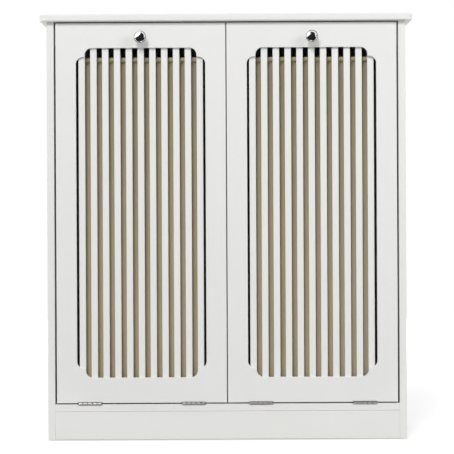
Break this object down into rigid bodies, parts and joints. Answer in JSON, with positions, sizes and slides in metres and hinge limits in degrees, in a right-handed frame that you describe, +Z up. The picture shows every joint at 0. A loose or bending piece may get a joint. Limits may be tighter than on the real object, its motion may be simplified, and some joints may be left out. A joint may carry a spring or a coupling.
{
  "type": "laundry cabinet",
  "caption": "White laundry cabinet with side-by-side tilt-out doors, slatted grilles, chrome knobs and a khaki fabric bag hung on rods behind each door.",
  "frame": {"origin": "on the floor, under the middle of the cabinet's overall box at rest", "axes": "+X to the viewer's right, +Y from the doors to the back panels, +Z up"},
  "size_m": [0.786, 0.363, 0.9],
  "materials": {
    "white_board": "15 mm fibreboard with a smooth satin white coating",
    "back_board": "3 mm hardboard, white on the faces",
    "khaki_cloth": "plain-woven khaki cloth with a sewn hem",
    "chrome": "polished chrome",
    "zinc_steel": "bright zinc plated steel",
    "black_steel": "black powder coat",
    "beech": "fluted beech dowel",
    "glide_plastic": "dark moulded plastic",
    "bumper_rubber": "soft translucent bumper"
  },
  "bodies": {
    "carcass": {"top_panel": "white_board", "side_panel_left": "white_board", "side_panel_right": "white_board", "divider_panel": "white_board", "bottom_panel": "white_board", "plinth_front": "white_board", "plinth_rear": "white_board", "top_rail_left": "white_board", "top_rail_right": "white_board", "back_panel_left": "back_board", "back_panel_right": "back_board", "floor_glides": "glide_plastic", "cam_locks": "zinc_steel", "cam_bolts": "zinc_steel", "wood_dowels": "beech", "hinge_cabinet_leaves": "zinc_steel", "hinge_pins": "zinc_steel", "hinge_cabinet_screws": "zinc_steel", "catch_magnets": "zinc_steel", "stay_studs": "zinc_steel"},
    "door_left": {"door_frame_left": "white_board", "door_grille_left": "white_board", "grille_screws_left": "zinc_steel", "knob_left": "chrome", "knob_screw_left": "zinc_steel", "hinge_door_leaves_left": "zinc_steel", "hinge_door_screws_left": "zinc_steel", "catch_strike_left": "zinc_steel", "catch_screw_left": "zinc_steel", "door_bumpers_left": "bumper_rubber", "stay_arm_left": "zinc_steel", "stay_screws_left": "zinc_steel", "bag_arms_left": "white_board", "arm_brackets_left": "zinc_steel", "bracket_screws_left": "zinc_steel"},
    "bag_left": {"bag_left": "khaki_cloth", "bag_rods_left": "black_steel"},
    "door_right": {"door_frame_right": "white_board", "door_grille_right": "white_board", "grille_screws_right": "zinc_steel", "knob_right": "chrome", "knob_screw_right": "zinc_steel", "hinge_door_leaves_right": "zinc_steel", "hinge_door_screws_right": "zinc_steel", "catch_strike_right": "zinc_steel", "catch_screw_right": "zinc_steel", "door_bumpers_right": "bumper_rubber", "stay_arm_right": "zinc_steel", "stay_screws_right": "zinc_steel", "bag_arms_right": "white_board", "arm_brackets_right": "zinc_steel", "bracket_screws_right": "zinc_steel"},
    "bag_right": {"bag_right": "khaki_cloth", "bag_rods_right": "black_steel"}
  },
  "joints": [
    {"name": "door_left_tilt", "type": "hinge", "parent": "carcass", "child": "door_left", "pos_m": [-0.18065, -0.157, 0.0784], "axis": [1, 0, 0], "range_deg": [0, 38]},
    {"name": "bag_left_lift", "type": "slide", "parent": "door_left", "child": "bag_left", "axis": [0, 0, 1], "range_m": [0, 0.012]},
    {"name": "door_right_tilt", "type": "hinge", "parent": "carcass", "child": "door_right", "pos_m": [0.18065, -0.157, 0.0784], "axis": [1, 0, 0], "range_deg": [0, 38]},
    {"name": "bag_right_lift", "type": "slide", "parent": "door_right", "child": "bag_right", "axis": [0, 0, 1], "range_m": [0, 0.012]}
  ]
}
